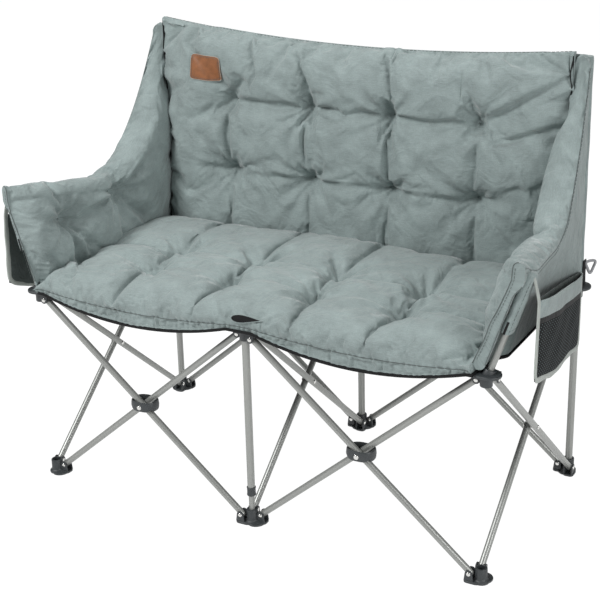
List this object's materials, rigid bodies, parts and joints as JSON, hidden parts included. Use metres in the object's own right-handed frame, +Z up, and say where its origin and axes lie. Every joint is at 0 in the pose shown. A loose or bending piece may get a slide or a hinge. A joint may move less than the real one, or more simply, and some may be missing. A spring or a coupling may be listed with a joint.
{
  "type": "folding camping loveseat",
  "caption": "Padded two-seat folding camping chair on a scissor frame of round tubes, with wing arms and side pockets.",
  "frame": {"origin": "on the floor below the middle of the seat", "axes": "+X to the right as seen from the front, +Y from the front to the back, +Z up"},
  "size_m": [1.2202, 0.579, 0.948],
  "materials": {
    "steel": "silver-grey powder coat on round steel tube",
    "rivet": "bright nickel-plated steel",
    "moulding": "dark grey moulded nylon",
    "cloth": "grey-green woven polyester, quilted over hollow fibre",
    "backing": "black coated polyester",
    "mesh": "dark polyester mesh with a grey hem",
    "leather": "tan leather, bare",
    "ring": "pale grey acetal"
  },
  "bodies": {
    "foot_front_centre": {"foot_front_centre": "moulding", "post_front_centre_rod": "steel"},
    "tube_front_left_a": {"tube_front_left_a": "steel"},
    "tube_front_left_b": {"tube_front_left_b": "steel"},
    "clip_front_left": {"clip_front_left": "moulding"},
    "tube_front_right_a": {"tube_front_right_a": "steel"},
    "tube_front_right_b": {"tube_front_right_b": "steel"},
    "clip_front_right": {"clip_front_right": "moulding"},
    "hub_front_left": {"hub_front_left": "moulding", "arm_post_left": "steel"},
    "hub_front_right": {"hub_front_right": "moulding", "arm_post_right": "steel"},
    "tube_side_left_a": {"tube_side_left_a": "steel", "rivet_side_left": "rivet"},
    "tube_side_left_b": {"tube_side_left_b": "steel"},
    "foot_front_left": {"foot_front_left": "moulding"},
    "hub_rear_left": {"hub_rear_left": "moulding"},
    "foot_rear_left": {"foot_rear_left": "moulding", "post_rear_left": "steel", "arm_shell_left": "cloth", "arm_pad_left": "cloth", "pocket_left": "mesh"},
    "tube_side_right_a": {"tube_side_right_a": "steel", "rivet_side_right": "rivet"},
    "tube_side_right_b": {"tube_side_right_b": "steel"},
    "foot_front_right": {"foot_front_right": "moulding"},
    "hub_rear_right": {"hub_rear_right": "moulding", "webbing": "backing", "ring": "ring"},
    "foot_rear_right": {"foot_rear_right": "moulding", "post_rear_right": "steel", "arm_shell_right": "cloth", "arm_pad_right": "cloth", "pocket_right": "mesh"},
    "tube_side_centre_b": {"tube_side_centre_b": "steel", "rivet_side_centre": "rivet"},
    "tube_side_centre_a": {"tube_side_centre_a": "steel"},
    "hub_front_centre": {"hub_front_centre": "moulding", "post_front_centre_upper": "steel", "post_front_centre_collar": "moulding"},
    "hub_rear_centre": {"hub_rear_centre": "moulding"},
    "foot_rear_centre": {"foot_rear_centre": "moulding", "post_rear_centre": "steel", "back_pad": "cloth", "back_panel": "cloth", "patch": "leather"},
    "tube_rear_left_a": {"tube_rear_left_a": "steel"},
    "tube_rear_left_b": {"tube_rear_left_b": "steel"},
    "clip_rear_left": {"clip_rear_left": "moulding"},
    "tube_rear_right_a": {"tube_rear_right_a": "steel"},
    "tube_rear_right_b": {"tube_rear_right_b": "steel"},
    "clip_rear_right": {"clip_rear_right": "moulding"},
    "seat_front": {"seat_pad_front": "cloth", "seat_sling_front": "backing"},
    "seat_rear": {"seat_pad_rear": "cloth", "seat_sling_rear": "backing"}
  },
  "joints": [
    {"name": "frame_fold", "type": "hinge", "parent": "foot_front_centre", "child": "tube_front_left_a", "pos_m": [-0.02, -0.268, 0.02], "axis": [0, 1, 0], "range_deg": [0, 38], "deforming": ["seat_pad_front", "seat_pad_rear", "seat_sling_front", "seat_sling_rear", "back_pad", "back_panel", "arm_shell_left", "arm_pad_left", "arm_shell_right", "arm_pad_right", "pocket_left", "pocket_right", "patch"]},
    {"name": "clip_front_left_pivot_a", "type": "hinge", "parent": "tube_front_left_a", "child": "clip_front_left", "pos_m": [-0.26, -0.268, 0.224], "axis": [0, -1, 0], "range_deg": [0, 38]},
    {"name": "clip_front_left_pivot_b", "type": "hinge", "parent": "clip_front_left", "child": "tube_front_left_b", "pos_m": [-0.26, -0.252, 0.224], "axis": [0, -1, 0], "range_deg": [0, 38]},
    {"name": "tube_front_right_b_foot_pivot", "type": "hinge", "parent": "foot_front_centre", "child": "tube_front_right_b", "pos_m": [0.02, -0.252, 0.02], "axis": [0, -1, 0], "range_deg": [0, 38]},
    {"name": "clip_front_right_pivot_b", "type": "hinge", "parent": "tube_front_right_b", "child": "clip_front_right", "pos_m": [0.26, -0.252, 0.224], "axis": [0, 1, 0], "range_deg": [0, 38]},
    {"name": "clip_front_right_pivot_a", "type": "hinge", "parent": "clip_front_right", "child": "tube_front_right_a", "pos_m": [0.26, -0.268, 0.224], "axis": [0, 1, 0], "range_deg": [0, 38]},
    {"name": "hub_front_left_pivot", "type": "hinge", "parent": "tube_front_left_a", "child": "hub_front_left", "pos_m": [-0.5, -0.268, 0.428], "axis": [0, -1, 0], "range_deg": [0, 38]},
    {"name": "hub_front_right_pivot", "type": "hinge", "parent": "tube_front_right_b", "child": "hub_front_right", "pos_m": [0.5, -0.252, 0.428], "axis": [0, 1, 0], "range_deg": [0, 38]},
    {"name": "tube_side_left_a_hub_pivot", "type": "hinge", "parent": "hub_front_left", "child": "tube_side_left_a", "pos_m": [-0.512, -0.24, 0.428], "axis": [-1, 0, 0], "range_deg": [0, 38]},
    {"name": "side_left_scissor", "type": "hinge", "parent": "tube_side_left_a", "child": "tube_side_left_b", "pos_m": [-0.52, 0, 0.224], "axis": [1, 0, 0], "range_deg": [0, 76]},
    {"name": "foot_front_left_pivot", "type": "hinge", "parent": "tube_side_left_b", "child": "foot_front_left", "pos_m": [-0.528, -0.24, 0.02], "axis": [-1, 0, 0], "range_deg": [0, 38]},
    {"name": "hub_rear_left_pivot", "type": "hinge", "parent": "tube_side_left_b", "child": "hub_rear_left", "pos_m": [-0.528, 0.24, 0.428], "axis": [-1, 0, 0], "range_deg": [0, 38]},
    {"name": "foot_rear_left_pivot", "type": "hinge", "parent": "tube_side_left_a", "child": "foot_rear_left", "pos_m": [-0.512, 0.24, 0.02], "axis": [1, 0, 0], "range_deg": [0, 38]},
    {"name": "tube_side_right_a_hub_pivot", "type": "hinge", "parent": "hub_front_right", "child": "tube_side_right_a", "pos_m": [0.528, -0.24, 0.428], "axis": [-1, 0, 0], "range_deg": [0, 38]},
    {"name": "side_right_scissor", "type": "hinge", "parent": "tube_side_right_a", "child": "tube_side_right_b", "pos_m": [0.52, 0, 0.224], "axis": [1, 0, 0], "range_deg": [0, 76]},
    {"name": "foot_front_right_pivot", "type": "hinge", "parent": "tube_side_right_b", "child": "foot_front_right", "pos_m": [0.512, -0.24, 0.02], "axis": [-1, 0, 0], "range_deg": [0, 38]},
    {"name": "hub_rear_right_pivot", "type": "hinge", "parent": "tube_side_right_b", "child": "hub_rear_right", "pos_m": [0.512, 0.24, 0.428], "axis": [-1, 0, 0], "range_deg": [0, 38]},
    {"name": "foot_rear_right_pivot", "type": "hinge", "parent": "tube_side_right_a", "child": "foot_rear_right", "pos_m": [0.528, 0.24, 0.02], "axis": [1, 0, 0], "range_deg": [0, 38]},
    {"name": "tube_side_centre_b_foot_pivot", "type": "hinge", "parent": "foot_front_centre", "child": "tube_side_centre_b", "pos_m": [-0.008, -0.24, 0.02], "axis": [1, 0, 0], "range_deg": [0, 38]},
    {"name": "side_centre_scissor", "type": "hinge", "parent": "tube_side_centre_b", "child": "tube_side_centre_a", "pos_m": [0, 0, 0.224], "axis": [-1, 0, 0], "range_deg": [0, 76]},
    {"name": "hub_front_centre_pivot", "type": "hinge", "parent": "tube_side_centre_a", "child": "hub_front_centre", "pos_m": [0.008, -0.24, 0.428], "axis": [1, 0, 0], "range_deg": [0, 38]},
    {"name": "hub_rear_centre_pivot", "type": "hinge", "parent": "tube_side_centre_b", "child": "hub_rear_centre", "pos_m": [-0.008, 0.24, 0.428], "axis": [-1, 0, 0], "range_deg": [0, 38]},
    {"name": "foot_rear_centre_pivot", "type": "hinge", "parent": "tube_side_centre_a", "child": "foot_rear_centre", "pos_m": [0.008, 0.24, 0.02], "axis": [1, 0, 0], "range_deg": [0, 38]},
    {"name": "tube_rear_left_a_foot_pivot", "type": "hinge", "parent": "foot_rear_centre", "child": "tube_rear_left_a", "pos_m": [-0.02, 0.252, 0.02], "axis": [0, 1, 0], "range_deg": [0, 38]},
    {"name": "clip_rear_left_pivot_a", "type": "hinge", "parent": "tube_rear_left_a", "child": "clip_rear_left", "pos_m": [-0.26, 0.252, 0.224], "axis": [0, -1, 0], "range_deg": [0, 38]},
    {"name": "clip_rear_left_pivot_b", "type": "hinge", "parent": "clip_rear_left", "child": "tube_rear_left_b", "pos_m": [-0.26, 0.268, 0.224], "axis": [0, -1, 0], "range_deg": [0, 38]},
    {"name": "tube_rear_right_b_foot_pivot", "type": "hinge", "parent": "foot_rear_centre", "child": "tube_rear_right_b", "pos_m": [0.02, 0.268, 0.02], "axis": [0, -1, 0], "range_deg": [0, 38]},
    {"name": "clip_rear_right_pivot_b", "type": "hinge", "parent": "tube_rear_right_b", "child": "clip_rear_right", "pos_m": [0.26, 0.268, 0.224], "axis": [0, 1, 0], "range_deg": [0, 38]},
    {"name": "clip_rear_right_pivot_a", "type": "hinge", "parent": "clip_rear_right", "child": "tube_rear_right_a", "pos_m": [0.26, 0.252, 0.224], "axis": [0, 1, 0], "range_deg": [0, 38]},
    {"name": "seat_front_hinge", "type": "hinge", "parent": "hub_front_centre", "child": "seat_front", "pos_m": [0, -0.26, 0.448], "axis": [-1, 0, 0], "range_deg": [0, 72.2]},
    {"name": "seat_rear_hinge", "type": "hinge", "parent": "hub_rear_centre", "child": "seat_rear", "pos_m": [0, 0.26, 0.448], "axis": [1, 0, 0], "range_deg": [0, 72.2]}
  ],
  "couplings": [
    {"joint": "clip_front_left_pivot_a", "follows": "frame_fold", "ratio": 1},
    {"joint": "clip_front_left_pivot_b", "follows": "frame_fold", "ratio": 1},
    {"joint": "tube_front_right_b_foot_pivot", "follows": "frame_fold", "ratio": 1},
    {"joint": "clip_front_right_pivot_b", "follows": "frame_fold", "ratio": 1},
    {"joint": "clip_front_right_pivot_a", "follows": "frame_fold", "ratio": 1},
    {"joint": "hub_front_left_pivot", "follows": "frame_fold", "ratio": 1},
    {"joint": "hub_front_right_pivot", "follows": "frame_fold", "ratio": 1},
    {"joint": "tube_side_left_a_hub_pivot", "follows": "frame_fold", "ratio": 1},
    {"joint": "side_left_scissor", "follows": "frame_fold", "ratio": 2},
    {"joint": "foot_front_left_pivot", "follows": "frame_fold", "ratio": 1},
    {"joint": "hub_rear_left_pivot", "follows": "frame_fold", "ratio": 1},
    {"joint": "foot_rear_left_pivot", "follows": "frame_fold", "ratio": 1},
    {"joint": "tube_side_right_a_hub_pivot", "follows": "frame_fold", "ratio": 1},
    {"joint": "side_right_scissor", "follows": "frame_fold", "ratio": 2},
    {"joint": "foot_front_right_pivot", "follows": "frame_fold", "ratio": 1},
    {"joint": "hub_rear_right_pivot", "follows": "frame_fold", "ratio": 1},
    {"joint": "foot_rear_right_pivot", "follows": "frame_fold", "ratio": 1},
    {"joint": "tube_side_centre_b_foot_pivot", "follows": "frame_fold", "ratio": 1},
    {"joint": "side_centre_scissor", "follows": "frame_fold", "ratio": 2},
    {"joint": "hub_front_centre_pivot", "follows": "frame_fold", "ratio": 1},
    {"joint": "hub_rear_centre_pivot", "follows": "frame_fold", "ratio": 1},
    {"joint": "foot_rear_centre_pivot", "follows": "frame_fold", "ratio": 1},
    {"joint": "tube_rear_left_a_foot_pivot", "follows": "frame_fold", "ratio": 1},
    {"joint": "clip_rear_left_pivot_a", "follows": "frame_fold", "ratio": 1},
    {"joint": "clip_rear_left_pivot_b", "follows": "frame_fold", "ratio": 1},
    {"joint": "tube_rear_right_b_foot_pivot", "follows": "frame_fold", "ratio": 1},
    {"joint": "clip_rear_right_pivot_b", "follows": "frame_fold", "ratio": 1},
    {"joint": "clip_rear_right_pivot_a", "follows": "frame_fold", "ratio": 1},
    {"joint": "seat_front_hinge", "follows": "frame_fold", "ratio": 1.9},
    {"joint": "seat_rear_hinge", "follows": "frame_fold", "ratio": 1.9}
  ]
}
